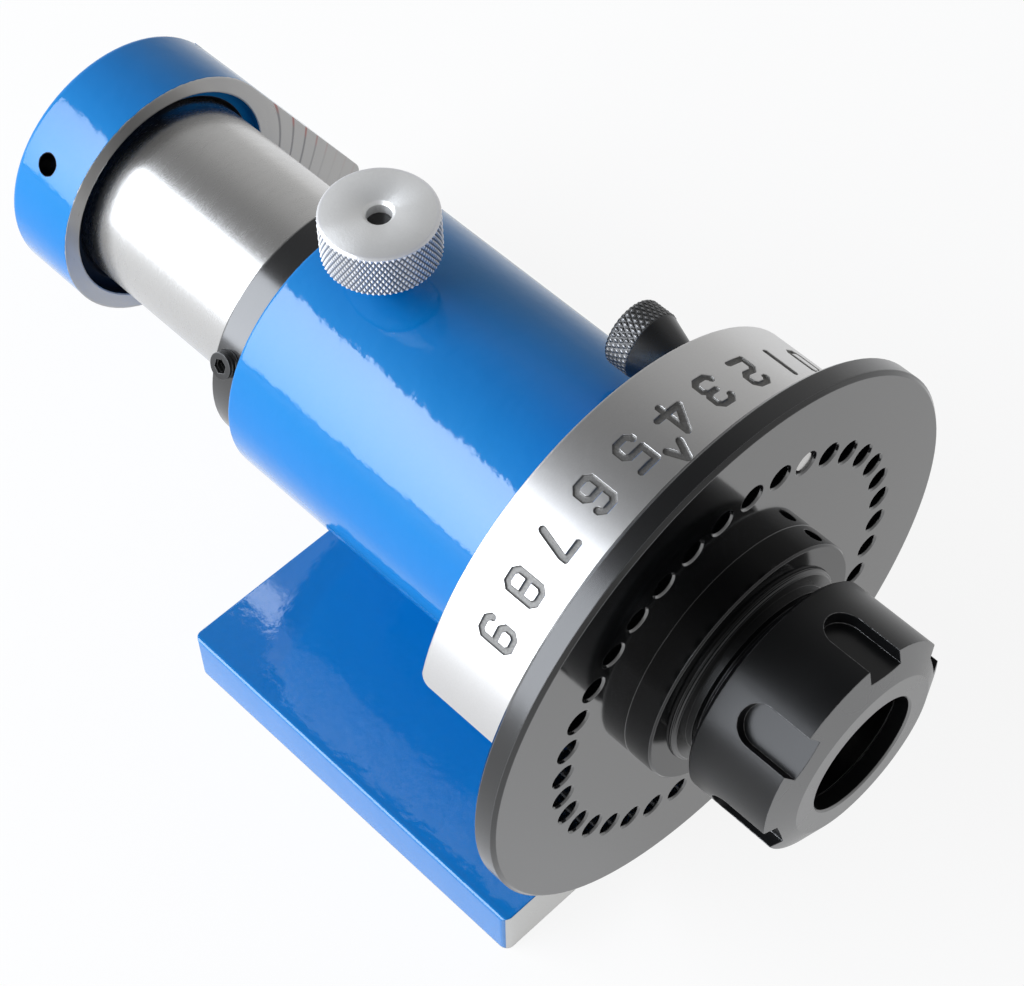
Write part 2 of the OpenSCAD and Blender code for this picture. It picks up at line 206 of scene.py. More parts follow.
def turning_marks(tree, turned, fine, broad):
    """Fine lines of a cutting tool mixed with broader ones, about 0 to 1."""
    fine_lines = streaks(tree, turned, 14.0, fine, fine, rough=0.65)
    broad_lines = streaks(tree, turned, 3.0, broad, broad, detail=2, rough=0.5)
    return plus(tree, times(tree, fine_lines, 0.6), times(tree, broad_lines, 0.4))


def new_material(name):
    """An empty material with its principled shader, which is linked to the output."""
    material = bpy.data.materials.new(name)
    material.use_nodes = True
    tree = material.node_tree
    tree.nodes.clear()
    shader = add(tree, "BsdfPrincipled")
    out = add(tree, "OutputMaterial")
    tree.links.new(shader.outputs[0], out.inputs[0])
    return material, tree, shader


def soft_normal(tree, radius):
    """The normal with edges rounded by radius, and how much an edge turns it, 0 to 1."""
    soft = add(tree, "Bevel", {"Radius": radius}, samples=8).outputs[0]
    flat = add(tree, "NewGeometry").outputs["Normal"]
    dot = add(tree, "VectorMath", {0: soft, 1: flat}, operation="DOT_PRODUCT").outputs[1]
    return soft, span(tree, dot, 0.995, 0.86)


def finish_with(tree, shader, height, edge=0.25 * MM, normal=None):
    """Gives a shader a bump of the given height map, in millimetres, over softened edges."""
    if normal is None:
        normal = soft_normal(tree, edge)[0]
    bump = add(tree, "Bump", {"Strength": 1.0, "Distance": MM, "Height": height, "Normal": normal})
    put(tree, shader.inputs["Normal"], bump.outputs[0])
    return bump.outputs[0]


# Materials

WHITE = (1, 1, 1, 1)
PAINT = (0.0, 0.108, 0.440, 1)
PAINT_LIGHT = (0.0, 0.126, 0.480, 1)
IRON = (0.70, 0.695, 0.68, 1)
FACED_IRON = (0.46, 0.455, 0.45, 1)
RIM_IRON = (0.67, 0.665, 0.66, 1)
MILLED_IRON = (0.60, 0.60, 0.59, 1)
STEEL = (0.67, 0.665, 0.655, 1)
BLACK = (0.003, 0.0032, 0.0036, 1)
WORN = (0.34, 0.34, 0.345, 1)
ALUMINIUM = (0.90, 0.90, 0.89, 1)
RUST = (0.36, 0.10, 0.09, 1)
# Painted shade: near black for the inside of the ring's bore and its tapped hole
HOLE_SHADE = (0.02, 0.018, 0.017, 1)
BRASS = (0.62, 0.42, 0.16, 1)
DARK_STEEL = (0.20, 0.20, 0.20, 1)
CUT_DARK = (0.10, 0.098, 0.094, 1)
CUT_LIGHT = (0.28, 0.275, 0.265, 1)
FEED_MARK = (0.17, 0.17, 0.18, 1)
GRAIN_GREY = (0.40, 0.40, 0.40, 1)
# Painted shade: near black for the near side of the ring's recess
RECESS_SHADE = (0.001, 0.004, 0.012, 1)
KNURL_TIP = (0.85, 0.85, 0.86, 1)
# Painted shade: dark colour in a knurl's grooves
KNURL_GROOVE_SHADE = (0.13, 0.14, 0.16, 1)
STEEL_MARK = (0.42, 0.42, 0.42, 1)
BLACK_CLOUD = (0.007, 0.0073, 0.008, 1)

PAINT_IOR, PAINT_ROUGH = 1.7, 0.75
PAINT_TINT = (0.0, 1.0, 0.30, 1)
# Specular tint of the painted shade in the ring's recess
RECESS_SHADE_TINT = (0.0, 0.05, 0.15, 1)
COAT_IOR, COAT_ROUGH = 1.64, 0.06

# Feed marks on the ring's leg: radius of one of them, their step, half their width and their soft
# edge, the radii between which they fade, where the leg starts, and where the rust on them starts,
# as z + slope * x
FEED_R, FEED_STEP, FEED_HALF, FEED_SOFT = 32.15 * MM, 4.1 * MM, 0.30 * MM, 0.16 * MM
FADE_FROM, FADE_TO = 41 * MM, 50 * MM
LEG_X, LEG_R = 26 * MM, 31 * MM
RUST_SLOPE, RUST_FROM = 1.9, 134 * MM

# Limits of the casting's regions: the low end of the base, the rim's lower end, the bore, the
# ring's recess and its painted shade, the floors of the digits and the rim's end at the side face
LOW_Z = 15 * MM
RIM_LOW_Z = 20 * MM
BORE_REACH = SPINDLE_R + 0.98 * MM
RECESS_R = 26.5 * MM
SHADE_FROM, SHADE_FULL = 12 * MM, 2 * MM
DIGIT_FLOOR_R = RIM_R - 0.13 * MM
RIM_END_X = 46 * MM

# Index of refraction of the black oxide, which sets how brightly each face mirrors
PLATE_FACE_IOR, PLATE_RIM_IOR, PLATE_HUB_IOR = 2.35, 1.65, 1.5
NUT_IOR, NUT_CONE_IOR, NUT_FACE_IOR = 1.42, 2.6, 3.3
COLLAR_IOR, SCREW_IOR, PIN_IOR, NOSE_IOR = 1.8, 1.6, 1.6, 1.6

# Step of the turned rings on the land before the nose thread
LAND_RINGS = 0.47 * MM


def bare_regions(tree, vector, x, y, z, radius):
    """Masks of the casting's machined faces: toward the nose, toward the tail, the rim, the bore
    and the mouth of the ring's tapped hole, and then all bare faces together."""
    normal = add(tree, "NewGeometry").outputs["True Normal"]
    facing = add(tree, "SeparateXYZ", {0: normal}).outputs[1]
    ragged = times(tree, minus(tree, noise(tree, vector, 450, 2), 0.5), 0.5 * MM)
    nose_side = both(tree, calc(tree, "LESS_THAN", facing, -0.7),
                     below(tree, y, RING_FRONT + 0.3 * MM))
    tail_side = calc(tree, "GREATER_THAN", facing, 0.7)
    rim = both(tree, above(tree, radius, RIM_R - 0.8 * MM), below(tree, y, HEAD_REAR + 0.2 * MM),
               above(tree, z, RIM_LOW_Z), minus(tree, 1.0, tail_side))
    side = above(tree, x, SIDE_X - 0.1 * MM)
    under = below(tree, z, 0.15 * MM)
    bore = below(tree, radius, BORE_REACH)
    from_rear = calc(tree, "ABSOLUTE", minus(tree, y, BARREL_REAR))
    barrel_end = both(tree, tail_side, below(tree, from_rear, 0.2 * MM))
    past_edge = plus(tree, minus(tree, y, RING_FRONT), ragged)
    ring_edge = both(tree, below(tree, past_edge, 0.12 * MM), above(tree, y, RING_FRONT - MM))
    tap_mouth = tap_mask(tree, x, y, z, ragged)
    bare = nose_side
    for mask in (rim, side, under, bore, barrel_end, ring_edge, tap_mouth):
        bare = larger(tree, bare, mask)
    return nose_side, tail_side, rim, bore, tap_mouth, bare


def tap_mask(tree, x, y, z, ragged):
    """1 inside the ring's tapped hole and on its ragged mouth."""
    across = plus(tree, times(tree, x, math.sin(TAP_ANGLE)),
                  times(tree, minus(tree, z, AXIS_Z), -math.cos(TAP_ANGLE)))
    along = minus(tree, y, RING_FRONT + TAP_FROM_FRONT)
    off = plus(tree, hypotenuse(tree, across, along), times(tree, ragged, 1.2))
    return both(tree, below(tree, off, TAP_R), calc(tree, "LESS_THAN", x, 0.0))


def feed_marks(tree, x, y, z, radius):
    """Marks of the facing cut on the ring's leg, and where they are rusty."""
    off_mark = calc(tree, "PINGPONG", minus(tree, radius, FEED_R), FEED_STEP / 2)
    mark = both(tree, below(tree, off_mark, FEED_HALF, FEED_SOFT), above(tree, y, RING_FRONT - MM),
                above(tree, x, LEG_X), above(tree, radius, LEG_R),
                span(tree, radius, FADE_FROM, FADE_TO, 0.8, 0.1))
    rusty = above(tree, spread(tree, x, RUST_SLOPE, z), RUST_FROM, MM)
    return mark, rusty


def true_rim_normal(tree, x, y, dz, radius, rim):
    """The normal with softened edges, and that of a true cylinder between the digits on the rim."""
    outward = add(tree, "CombineXYZ", {0: x, 2: dz}).outputs[0]
    outward = add(tree, "VectorMath", {0: outward}, operation="NORMALIZE").outputs[0]
    on_rim = both(tree, rim, above(tree, radius, RIM_R - 0.06 * MM, 0.01 * MM),
                  below(tree, y, HEAD_REAR - 0.5 * MM), above(tree, y, HEAD_FRONT + 0.5 * MM),
                  below(tree, x, SIDE_X - MM))
    return blend(tree, on_rim, soft_normal(tree, 0.5 * MM)[0], outward)


def casting_material():
    """Thick glossy paint on cast iron, with the machined faces left bare."""
    material, tree, shader = new_material("painted_casting")
    vector, x, y, z = place(tree)
    dz = minus(tree, z, AXIS_Z)
    radius, turned = round_axis(tree, x, dz, y)
    nose_side, tail_side, rim, bore, tap_mouth, bare = bare_regions(tree, vector, x, y, z, radius)
    flat_end = larger(tree, nose_side, tail_side)
    engraved = both(tree, rim, below(tree, radius, DIGIT_FLOOR_R), below(tree, x, RIM_END_X))

    # Facing cuts: arcs about the spindle axis on the flat faces, fine lines round the rim
    arcs = streaks(tree, turned, 2.0, 0, 900.0, detail=4)
    round_lines = streaks(tree, turned, 30.0, 5000.0, 0)
    lines = blend(tree, flat_end, round_lines, arcs)
    grain = noise(tree, vector, 2600, 2, 0.7)
    mark, rusty = feed_marks(tree, x, y, z, radius)
    low = below(tree, z, LOW_Z)
    metal = blend(tree, nose_side, IRON, blend(tree, low, FACED_IRON, MILLED_IRON))
    metal = blend(tree, rim, metal, RIM_IRON)
    metal = blend(tree, mark, metal, blend(tree, rusty, FEED_MARK, RUST))
    metal = blend(tree, times(tree, grain, 0.25), metal, GRAIN_GREY)
    # Painted shade: the ring's bore and its tapped hole are coloured near black
    ring_bore = both(tree, bore, above(tree, y, RING_FRONT + 0.5 * MM))
    metal = blend(tree, larger(tree, tap_mouth, ring_bore), metal, HOLE_SHADE)
    metal = blend(tree, engraved, metal, blend(tree, grain, CUT_DARK, CUT_LIGHT))

    # Painted shade: the ring's recess is coloured near black, not metallic, with a dark reflection
    # tint, on its near side, where it lies in deep shade
    recess = both(tree, above(tree, y, RING_FRONT + 0.3 * MM), below(tree, radius, RECESS_R))
    shade = both(tree, recess, span(tree, x, SHADE_FROM, SHADE_FULL))

    # Paint: slow waves, a finer orange peel and faint brushing under a clear gloss
    waves = noise(tree, vector, 90, 3, 0.55)
    peel = noise(tree, vector, 420, 3, 0.6)
    brushed = streaks(tree, turned, 9.0, 1700.0, 0)
    paint = blend(tree, noise(tree, vector, 28, 2), PAINT, PAINT_LIGHT)
    paint_height = plus(tree, times(tree, waves, 0.16), times(tree, peel, 0.03))
    paint_height = spread(tree, brushed, 0.010, paint_height)
    metal_height = plus(tree, times(tree, lines, blend(tree, flat_end, 0.018, 0.012)),
                        times(tree, grain, blend(tree, engraved, 0.008, 0.05)))
    height = blend(tree, bare, paint_height, metal_height)

    # Painted shade replaces paint and metal on the recess's near side
    colour = blend(tree, shade, blend(tree, bare, paint, metal), RECESS_SHADE)
    put(tree, shader.inputs["Base Color"], colour)
    put(tree, shader.inputs["Metallic"], both(tree, bare, minus(tree, 1.0, shade)))
    shader.inputs["IOR"].default_value = PAINT_IOR
    tint = blend(tree, bare, PAINT_TINT, WHITE)
    put(tree, shader.inputs["Specular Tint"], blend(tree, shade, tint, RECESS_SHADE_TINT))
    rim_rough, flat_rough = spread(tree, lines, 0.12, 0.27), spread(tree, lines, 0.10, 0.24)
    rough = blend(tree, engraved, blend(tree, flat_end, rim_rough, flat_rough), 0.6)
    put(tree, shader.inputs["Roughness"], blend(tree, bare, PAINT_ROUGH, rough))

    # The clear gloss is weaker on the upper sides where they turn away
    glossy = both(tree, minus(tree, 1.0, bare), minus(tree, 1.0, recess))
    grazing = add(tree, "LayerWeight", {"Blend": 0.5}).outputs["Facing"]
    sheen = larger(tree, span(tree, grazing, 0.14, 0.34, 1.0, 0.4),
                   span(tree, grazing, 0.60, 0.80, 0.4, 0.7))
    sheen = larger(tree, sheen, below(tree, dz, 3 * MM, 9 * MM))
    put(tree, shader.inputs["Coat Weight"], both(tree, glossy, sheen))
    shader.inputs["Coat IOR"].default_value = COAT_IOR
    shader.inputs["Coat Roughness"].default_value = COAT_ROUGH
    normal = true_rim_normal(tree, x, y, dz, radius, rim)
    put(tree, shader.inputs["Coat Normal"], finish_with(tree, shader, height, normal=normal))
    return material


def turned_material(name, colour, rough, lines=0.01, axis="Y", centre=(0.0, 0.0), detail=5000.0,
                    streak=0.05, aniso=0.0, edge=0.25 * MM, knurl_r=0.0, metallic=1.0):
    """Turned or ground bright metal, with fine lines round an axis, also on its end faces. Painted
    shade darkens the grooves of a knurl of radius knurl_r."""
    material, tree, shader = new_material(name)
    x, y, z = place(tree)[1:]
    if axis == "Y":
        a, b, along = minus(tree, x, centre[0]), minus(tree, z, centre[1]), y
    else:
        a, b, along = minus(tree, x, centre[0]), minus(tree, y, centre[1]), z
    radius, turned = round_axis(tree, a, b, along)
    mixed = turning_marks(tree, turned, detail, detail / 9)
    dark = tuple(c * 0.72 for c in colour[:3]) + (1,)
    tone = blend(tree, times(tree, mixed, 0.35), colour, dark)
    if knurl_r:
        knurled = above(tree, radius, knurl_r - MM)
        # Painted shade in the knurl's grooves
        groove_shade = both(tree, span(tree, radius, knurl_r - 0.12 * MM, knurl_r - 0.34 * MM),
                      knurled, below(tree, z, KNOB[1].z - MM))
        tone = blend(tree, groove_shade, blend(tree, knurled, tone, KNURL_TIP), KNURL_GROOVE_SHADE)
    put(tree, shader.inputs["Base Color"], tone)
    put(tree, shader.inputs["Roughness"], spread(tree, mixed, streak, rough - streak / 2))
    shader.inputs["Metallic"].default_value = metallic
    if aniso:
        ring = {0: times(tree, b, -1.0), (2 if axis == "Y" else 1): a}
        tangent = add(tree, "CombineXYZ", ring).outputs[0]
        put(tree, shader.inputs["Tangent"], tangent)
        shader.inputs["Anisotropic"].default_value = aniso
        shader.inputs["Anisotropic Rotation"].default_value = 0.25
    finish_with(tree, shader, times(tree, mixed, lines), edge)
    return material


def spindle_material():
    """Ground steel, with the threaded nose blackened."""
    material, tree, shader = new_material("ground_spindle")
    x, y, z = place(tree)[1:]
    turned = round_axis(tree, x, minus(tree, z, AXIS_Z), y)[1]
    nose = below(tree, y, HUB_FRONT + 0.3 * MM)
    mixed = turning_marks(tree, turned, 5000.0, 550.0)
    steel = blend(tree, times(tree, mixed, 0.5), STEEL, STEEL_MARK)
    put(tree, shader.inputs["Base Color"], blend(tree, nose, steel, BLACK))
    put(tree, shader.inputs["Metallic"], minus(tree, 1.0, nose))
    shader.inputs["IOR"].default_value = NOSE_IOR
    put(tree, shader.inputs["Roughness"], blend(tree, nose, spread(tree, mixed, 0.18, 0.17), 0.24))
    rings = calc(tree, "SINE", times(tree, y, 2 * math.pi / LAND_RINGS))
    land = both(tree, above(tree, y, LAND_FRONT + 0.1 * MM), below(tree, y, HUB_FRONT))
    height = plus(tree, times(tree, mixed, 0.008), both(tree, land, times(tree, rings, 0.03)))
    finish_with(tree, shader, height, 0.15 * MM)
    return material


def black_material(name, rough=0.34, ior=1.5, grain_height=0.012, worn=0.6, thread_pitch=0.0,
                   tips=None):
    """Black oxide on fine blasted or turned steel, worn a little brighter along its edges, and on
    the tips of a knurl where tips gives its axis and radius: x, z, radius. thread_pitch adds rings
    about the spindle axis."""
    material, tree, shader = new_material(name)
    vector, x, _, z = place(tree)
    grain = noise(tree, vector, 3200, 3, 0.7)
    cloud = noise(tree, vector, 60, 3)
    normal, edge = soft_normal(tree, 0.3 * MM)
    wear = both(tree, edge, span(tree, noise(tree, vector, 900, 2), 0.3, 0.6), worn)
    if tips:
        tip_x, tip_z, tip_r = tips
        radius = hypotenuse(tree, minus(tree, x, tip_x), minus(tree, z, tip_z))
        bright = span(tree, radius, tip_r - 0.17 * MM, tip_r - 0.05 * MM)
        wear = larger(tree, times(tree, wear, 0.3), times(tree, bright, 0.8))
    black = blend(tree, cloud, BLACK, BLACK_CLOUD)
    put(tree, shader.inputs["Base Color"], blend(tree, wear, black, WORN))
    put(tree, shader.inputs["Metallic"], wear)
    put(tree, shader.inputs["Roughness"], spread(tree, cloud, 0.10, rough - 0.05))
    shader.inputs["IOR"].default_value = ior
    height = times(tree, grain, grain_height)
    if thread_pitch:
        radius = hypotenuse(tree, x, minus(tree, z, AXIS_Z))
        rings = calc(tree, "SINE", times(tree, radius, 2 * math.pi / thread_pitch))
        height = spread(tree, rings, 0.16 * thread_pitch / MM, height)
    finish_with(tree, shader, height, normal=normal)
    return material


def index_plate_material(name, ior):
    """Black oxide: polished on the face with the holes, turned on the rim, smooth on the hub."""
    material, tree, shader = new_material(name)
    vector, x, y, z = place(tree)
    radius, turned = round_axis(tree, x, minus(tree, z, AXIS_Z), y)
    on_rim = above(tree, radius, PLATE_R - 0.3 * MM)
    on_hub = below(tree, radius, HUB_R + 0.1 * MM)
    rim_lines = streaks(tree, turned, 9.0, 6000.0, 0, rough=0.65)
    face_lines = streaks(tree, turned, 5.0, 0, 3500.0)
    haze = noise(tree, vector, 35, 3)
    height = blend(tree, on_rim, times(tree, face_lines, 0.0012), times(tree, rim_lines, 0.012))
    rough = blend(tree, on_rim, spread(tree, haze, 0.05, 0.05), 0.22)
    rough = blend(tree, on_hub, rough, 0.12)
    normal, edge = soft_normal(tree, 0.3 * MM)
    root = both(tree, below(tree, radius, HUB_R + 0.6 * MM), above(tree, y, PLATE_FRONT - 0.6 * MM))
    wear = both(tree, edge, minus(tree, 0.5, times(tree, root, 0.5)))
    put(tree, shader.inputs["Base Color"], blend(tree, wear, BLACK, WORN))
    put(tree, shader.inputs["Metallic"], wear)
    put(tree, shader.inputs["Roughness"], rough)
    shader.inputs["IOR"].default_value = ior
    finish_with(tree, shader, height, normal=normal)
    return material


# Shapes

def scene_object(name, data):
    """A new object in the scene, at the origin."""
    obj = bpy.data.objects.new(name, data)
    bpy.context.scene.collection.objects.link(obj)
    return obj


def closed_object(name, points, faces, smooth):
    """A closed mesh object from points in millimetres, with one value of smooth for each face."""
    mesh = bpy.data.meshes.new(name)
    mesh.from_pydata([Vector(p) * MM for p in points], [], faces)
    mesh.polygons.foreach_set("use_smooth", smooth)
    mesh.update()
    shape = bmesh.new()
    shape.from_mesh(mesh)
    bmesh.ops.recalc_face_normals(shape, faces=shape.faces)
    shape.to_mesh(mesh)
    shape.free()
    return scene_object(name, mesh)


def split_edges(obj, degrees):
    """Keeps edges that turn by more than an angle sharp."""
    split = obj.modifiers.new("split", "EDGE_SPLIT")
    split.split_angle = math.radians(degrees)
    split.use_edge_sharp = False


def cut_from(node, cutter, body):
    """Cuts a closed mesh from a CAD node, by a modifier, and smooths the node's shading again."""
    cutter.hide_render = True
    cutter.display_type = "WIRE"
    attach(cutter, body)
    obj = nodes[node]
    mesh = obj.data
    for name in ("custom_normal", "sharp_edge", "sharp_face"):
        if name in mesh.attributes:
            mesh.attributes.remove(mesh.attributes[name])
    mesh.polygons.foreach_set("use_smooth", [True] * len(mesh.polygons))
    weld = obj.modifiers.new("weld", "WELD")
    weld.merge_threshold = 1e-7
    cut = obj.modifiers.new("cut", "BOOLEAN")
    cut.operation = "DIFFERENCE"
    cut.solver = "EXACT"
    cut.use_self = True
    cut.object = cutter
    split_edges(obj, 30)


# Strokes of the digits in millimetres: W is half their width, H half their height, c the cut of
# their corners and t the length of their tails
W, H, c, t = 2.0, 3.65, 0.9, 1.2
ROUND = [(-W + c, H), (W - c, H), (W, H - c), (W, -H + c), (W - c, -H), (-W + c, -H), (-W, -H + c),
         (-W, H - c), (-W + c, H)]
TOP_HOOK = [(-W, H - t), (-W, H - c), (-W + c, H), (W - c, H), (W, H - c), (W, c), (W - c, 0)]
LOW_BOWL = [(W - c, 0), (W, -c), (W, -H + c), (W - c, -H), (-W + c, -H), (-W, -H + c)]
DIGITS = [
    [ROUND],
    [[(0, H), (0, -H)]],
    [TOP_HOOK + [(-W + c, 0), (-W, -c), (-W, -H), (W, -H)]],
    [TOP_HOOK + [(-0.6, 0)], LOW_BOWL + [(-W, -H + t)]],
    [[(0.45, -H), (0.45, H), (-2.85, -1.75), (2.8, -1.75)]],
    [[(W, H), (-W, H), (-W, 0)] + LOW_BOWL + [(-W, -H + t)]],
    [[(W, H - t), (W, H - c), (W - c, H), (-W + c, H), (-W, H - c)] + LOW_BOWL[::-1] + [(-W, 0)]],
    [[(-W + 0.1, H), (W - 0.1, H), (W - 0.1, H - 1), (0.3, -H)]],
    [ROUND, [(-W, 0), (W, 0)]],
    [[(-W, -H + t)] + LOW_BOWL[::-1][:-2]
     + [(W, H - c), (W - c, H), (-W + c, H), (-W, H - c), (-W, c), (-W + c, 0), (W, 0)]],
]
ARROW = [[(-1.7, -1.95), (0, 1.95), (1.7, -1.95)]]
# Half width and height over the rim of a stroke at its top and at its floor
STROKE = (0.92, 0.1), (0.6, -0.45)
# Places on the rim: angle in degrees from +X over +Z, and y in millimetres
FIRST_DIGIT_ANGLE, DIGIT_STEP, DIGIT_Y = 43.0, 11.2, -39.7
ARROW_ANGLE, ARROW_Y = 92.9, -45.75


def engrave(shape, strokes, angle, y, rim):
    """Adds cutters for strokes to a bmesh, drawn with up toward -Y and wrapped on the rim at an
    angle."""
    for line in strokes:
        for start, end in zip(line, line[1:]):
            before = set(shape.verts)
            for u, v in (start, end):
                for reach, depth in STROKE:
                    for i in range(8):
                        a = math.radians(22.5 + 45 * i)
                        shape.verts.new((u + reach * math.cos(a), v + reach * math.sin(a), depth))
            new = [vert for vert in shape.verts if vert not in before]
            hull = bmesh.ops.convex_hull(shape, input=new)
            inner = [g for g in hull["geom_interior"] if isinstance(g, bmesh.types.BMVert)]
            bmesh.ops.delete(shape, geom=inner, context="VERTS")
            for vert in (vert for vert in new if vert.is_valid):
                u, v, depth = vert.co
                a = math.radians(angle) + u / rim
                r = rim + depth
                vert.co = (r * math.cos(a), y - v, AXIS_Z / MM + r * math.sin(a))


def rim_marks():
    """The digits 0 to 9 and the arrow mark, cut into the head's rim."""
    shape = bmesh.new()
    rim = RIM_R / MM
    for k, strokes in enumerate(DIGITS):
        engrave(shape, strokes, FIRST_DIGIT_ANGLE + DIGIT_STEP * k, DIGIT_Y, rim)
    engrave(shape, ARROW, ARROW_ANGLE, ARROW_Y, rim)
    bmesh.ops.recalc_face_normals(shape, faces=shape.faces)
    bmesh.ops.scale(shape, vec=(MM, MM, MM), verts=shape.verts)
    mesh = bpy.data.meshes.new("rim_marks")
    shape.to_mesh(mesh)
    shape.free()
    cut_from("housing_casting", scene_object("rim_marks", mesh), "housing")


def nose_thread():
    """The groove of the nose thread, a right-hand helix. Lengths here are in millimetres."""
    pitch, steps = 1.5, 96
    first, last = LAND_FRONT / MM - 1.65, SPINDLE[0].y / MM + 0.75
    outer, inner = THREAD_R / MM + 0.05, THREAD_R / MM - 0.9
    section = [(outer, 0.7), (outer, -0.7), (inner, -0.1), (inner, 0.1)]
    count = int((first - last) / pitch * steps)
    points, faces = [], []
    for i in range(count + 1):
        a = math.radians(60) + 2 * math.pi * i / steps
        y = first - pitch * i / steps
        for r, dy in section:
            points.append((r * math.cos(a), y + dy, AXIS_Z / MM - r * math.sin(a)))
    for i in range(count):
        for k in range(4):
            n, m = 4 * i, (k + 1) % 4
            faces.append((n + k, n + 4 + k, n + 4 + m, n + m))
    faces += [(0, 1, 2, 3), (4 * count + 3, 4 * count + 2, 4 * count + 1, 4 * count)]
    helix = closed_object("nose_thread", points, faces, [True] * len(faces))
    cut_from("spindle", helix, "spindle_group")


def drum(name, teeth, depth, before, band, after, to_point):
    """A closed turned body with a diamond knurl. before, band and after are lists of (radius,
    height along the axis) that run on from each other and back to the start, and the knurl sinks
    only into the band. to_point(radius, angle, height) gives a place in millimetres."""
    columns = 4 * teeth
    rows = before + band + after
    first, last = len(before), len(before) + len(band) - 1
    points, faces, smooth = [], [], []
    for j, (r, h) in enumerate(rows):
        for i in range(columns):
            sink = 0.0
            if first <= j <= last:
                a, b = ((i + j) / 4) % 1, ((i - j) / 4) % 1
                sink = depth * max(abs(2 * a - 1), abs(2 * b - 1))
            points.append(to_point(r - sink, 2 * math.pi * i / columns, h))
    for j in range(len(rows)):
        n = (j + 1) % len(rows)
        for i in range(columns):
            k = (i + 1) % columns
            a, b, d, e = j * columns + i, j * columns + k, n * columns + k, n * columns + i
            if first <= j < last:
                faces += [(a, b, d), (a, d, e)] if (i + j) % 2 == 0 else [(a, b, e), (b, d, e)]
                smooth += [False, False]
            else:
                faces.append((a, b, d, e))
                smooth.append(True)
    obj = closed_object(name, points, faces, smooth)
    split_edges(obj, 35)
    return obj


# Angle of the knurls' grooves to the axis, in degrees, and their teeth and depths in millimetres
KNURL_ANGLE = 31
KNOB_TEETH, KNOB_DEPTH = 68, 0.36
PIN_TEETH, PIN_DEPTH = 38, 0.28


def knurl_rows(radius, start, end, teeth, round_end=0.0):
    """Band rows from start to end, one knurl step apart, with the last part rounded over by
    round_end."""
    step = 2 * math.pi * radius / teeth / 4 / math.tan(math.radians(KNURL_ANGLE))
    count = max(4, round(abs(end - start) / step))
    rows = []
    for j in range(count + 1):
        h = start + (end - start) * j / count
        past = max(0.0, round_end - abs(end - h))
        drop = round_end - math.sqrt(max(0.0, round_end ** 2 - past ** 2)) if round_end else 0.0
        rows.append((radius - min(drop, round_end * 0.7), h))
    return rows


def lock_knob():
    """The lock knob: diamond knurl, rounded lip, faced top and a countersunk hole."""
    radius = (KNOB[1].x - KNOB[0].x) / 2 / MM
    low, top, stud = KNOB[0].z / MM, KNOB[1].z / MM, STUD[1].z / MM
    bore, hole, sink = 4.02, 2.65, 3.4
    band = knurl_rows(radius, low + 0.15, top - 0.62, KNOB_TEETH)
    before = [(bore, stud), (bore, low), (radius - 0.75, low), (radius - 0.3, low + 0.12)]
    lip = [(radius - 0.14, top - 0.58), (radius - 0.14, top - 0.46), (radius - 0.55, top - 0.05),
           (radius - 0.65, top)]
    after = lip + [(sink, top), (3.25, top - 0.1), (hole, top - 0.75), (hole, stud)]

    def to_point(r, a, h):
        return r * math.cos(a), LOCK_Y / MM + r * math.sin(a), h

    obj = drum("lock_knob_knurled", KNOB_TEETH, KNOB_DEPTH, before, band, after, to_point)
    obj.data.materials.append(turned_material(
        "turned_aluminium", ALUMINIUM, 0.34, lines=0.08, axis="Z", centre=(0, LOCK_Y),
        detail=1900.0, streak=0.2, aniso=0.85, edge=0.1 * MM, knurl_r=radius * MM, metallic=0.62))
    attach(obj, "lock_screw")
    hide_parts("lock_knob")


def pin_head():
    """The index pin's head: a knurled grip with a cone down to its shoulder."""
    radius = (PIN_HEAD[1].x - PIN_HEAD[0].x) / 2 / MM
    front, rear = PIN_HEAD[0].y / MM, PIN_HEAD[1].y / MM
    bore, grip = 2.52, rear - 6.0
    before = [(bore, grip + 3.0), (bore, front), (3.8, front), (4.0, front + 0.2),
              (radius - 0.3, grip)]
    band = knurl_rows(radius, grip + 0.05, rear - 0.1, PIN_TEETH, 0.8)
    after = [(radius - 1.0, rear), (0.6, rear), (0.4, grip + 3.0)]

    def to_point(r, a, h):
        return PIN_X / MM + r * math.cos(a), h, PIN_Z / MM + r * math.sin(a)

    obj = drum("index_pin_head_knurled", PIN_TEETH, PIN_DEPTH, before, band, after, to_point)
    obj.data.materials.append(black_material("pin_black", 0.26, PIN_IOR, 0.003, 0.8,
                                             tips=(PIN_X, PIN_Z, radius * MM)))
    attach(obj, "index_pin")
    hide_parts("index_pin_head")


# Scene: camera, lamp, studio and floor

CAMERA_AT = (-0.21261, -0.22500, 0.49508)
CAMERA_RIGHT = (0.71308, -0.70085, -0.01771)
CAMERA_UP = (0.57682, 0.57215, 0.58303)
CAMERA_BACK = (-0.39848, -0.42597, 0.81226)
LENS = 89.47

# The lamp on the left: place in degrees and metres, where it aims, size, strength and colour
LAMP_AZIMUTH, LAMP_ELEVATION, LAMP_DISTANCE = -122, 24.2, 1.6
LAMP_AIM_Y = 0.03
LAMP_WIDTH, LAMP_HEIGHT = 1.9, 1.46
LAMP_RADIANCE, LAMP_COLOUR = 5.6, (0.95, 1.0, 1.08)

# Brightness of the studio by elevation in degrees
STUDIO = ((-90, 0.90), (-2, 0.84), (6, 0.62), (24, 0.54), (42, 0.44), (56, 0.25), (70, 0.12))

# The floor's radius and grey, and its glow as the camera and as metal or glass see it
FLOOR_R, FLOOR_GREY = 2.5, (0.9, 0.9, 0.9, 1)
GLOW_SEEN, GLOW_MIRRORED = 0.88, 0.7


